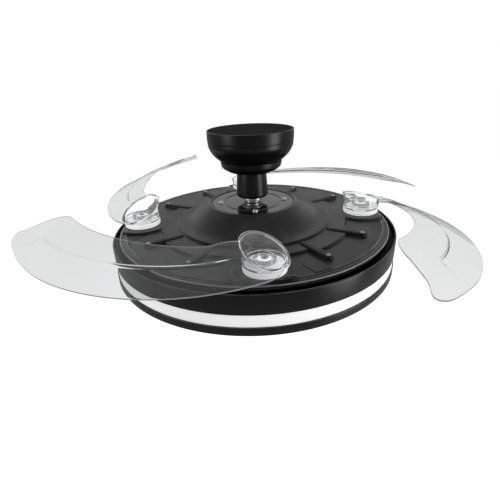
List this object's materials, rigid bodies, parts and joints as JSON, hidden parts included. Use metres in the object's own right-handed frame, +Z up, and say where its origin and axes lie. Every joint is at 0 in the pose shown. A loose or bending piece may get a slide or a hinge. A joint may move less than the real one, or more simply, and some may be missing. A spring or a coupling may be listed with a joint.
{
  "type": "retractable blade ceiling fan",
  "caption": "Ceiling fan on a short stem: clear curved blades hinge out from cups on a turning black tray and fold in over a round body with a white light band.",
  "frame": {"origin": "middle of the ceiling plate's flat top face, which lies against the ceiling; the whole fan hangs below it", "axes": "+Z up along the stem and the rotor's axis, -Y towards the viewer of the picture, +X to the viewer's right"},
  "size_m": [0.6549, 0.6948, 0.2303],
  "materials": {
    "matte_black_steel": "matte black powder coat",
    "satin_black": "satin black paint",
    "tray_black": "satin black paint on pressed sheet",
    "black_plastic": "smooth black moulding",
    "clear_plastic": "clear moulded plastic with a faint grey tint, polished",
    "frosted_plastic": "frosted white moulding",
    "white_plastic": "off-white moulding",
    "opal_plastic": "opal white acrylic",
    "chrome": "bright plated steel",
    "steel": "plain bright steel",
    "zinc_steel": "zinc plated steel",
    "copper": "enamelled copper winding",
    "magnet": "sintered dark grey magnet",
    "white_board": "white solder mask"
  },
  "bodies": {
    "hanging_frame": {"ceiling_plate": "matte_black_steel", "hanger_bracket": "zinc_steel", "bracket_screw_1": "steel", "bracket_screw_2": "steel", "hanger_ball": "black_plastic", "ball_pin": "steel", "downrod": "satin_black", "canopy_band": "satin_black", "canopy_bowl": "satin_black", "canopy_trim": "satin_black", "coupling_cover": "satin_black", "motor_yoke": "zinc_steel", "yoke_pin": "steel", "shaft_collar": "chrome", "motor_shaft": "chrome", "stator_core": "steel", "stator_hub": "white_plastic", "stator_winding_upper": "copper", "stator_winding_lower": "copper", "upper_ring": "satin_black", "light_band": "opal_plastic", "lower_ring": "satin_black", "chassis_pan": "zinc_steel", "chassis_nut": "zinc_steel", "led_board": "white_board", "driver_box": "white_plastic", "bottom_diffuser": "opal_plastic", "bearing_upper": "steel", "bearing_lower": "steel"},
    "rotor": {"rotor_shell": "zinc_steel", "rotor_end_plate": "zinc_steel", "magnet_ring": "magnet", "blade_tray": "tray_black", "rotor_cap": "tray_black", "cap_screw_1": "chrome", "cap_screw_2": "chrome", "cap_screw_3": "chrome", "cap_screw_4": "chrome", "pivot_seat_1": "frosted_plastic", "pivot_seat_2": "frosted_plastic", "pivot_seat_3": "frosted_plastic", "pivot_seat_4": "frosted_plastic", "pivot_bush_1": "white_plastic", "pivot_bush_2": "white_plastic", "pivot_bush_3": "white_plastic", "pivot_bush_4": "white_plastic", "pivot_bolt_1": "chrome", "pivot_bolt_2": "chrome", "pivot_bolt_3": "chrome", "pivot_bolt_4": "chrome", "return_spring_1": "steel", "return_spring_2": "steel", "return_spring_3": "steel", "return_spring_4": "steel"},
    "blade_front": {"blade_1": "clear_plastic"},
    "blade_right": {"blade_2": "clear_plastic"},
    "blade_back": {"blade_3": "clear_plastic"},
    "blade_left": {"blade_4": "clear_plastic"}
  },
  "joints": [
    {"name": "rotor_spin", "type": "hinge", "parent": "hanging_frame", "child": "rotor", "pos_m": [0, 0, -0.15], "axis": [0, 0, 1], "continuous": true},
    {"name": "blade_front_swing", "type": "hinge", "parent": "rotor", "child": "blade_front", "pos_m": [0.01334, -0.20086, -0.145], "axis": [0, 0, 1], "range_deg": [-38, 62]},
    {"name": "blade_right_swing", "type": "hinge", "parent": "rotor", "child": "blade_right", "pos_m": [0.20086, 0.01334, -0.145], "axis": [0, 0, 1], "range_deg": [-41.4, 58.6]},
    {"name": "blade_back_swing", "type": "hinge", "parent": "rotor", "child": "blade_back", "pos_m": [-0.01334, 0.20086, -0.145], "axis": [0, 0, 1], "range_deg": [-16, 84]},
    {"name": "blade_left_swing", "type": "hinge", "parent": "rotor", "child": "blade_left", "pos_m": [-0.20086, -0.01334, -0.145], "axis": [0, 0, 1], "range_deg": [-37, 63]}
  ]
}
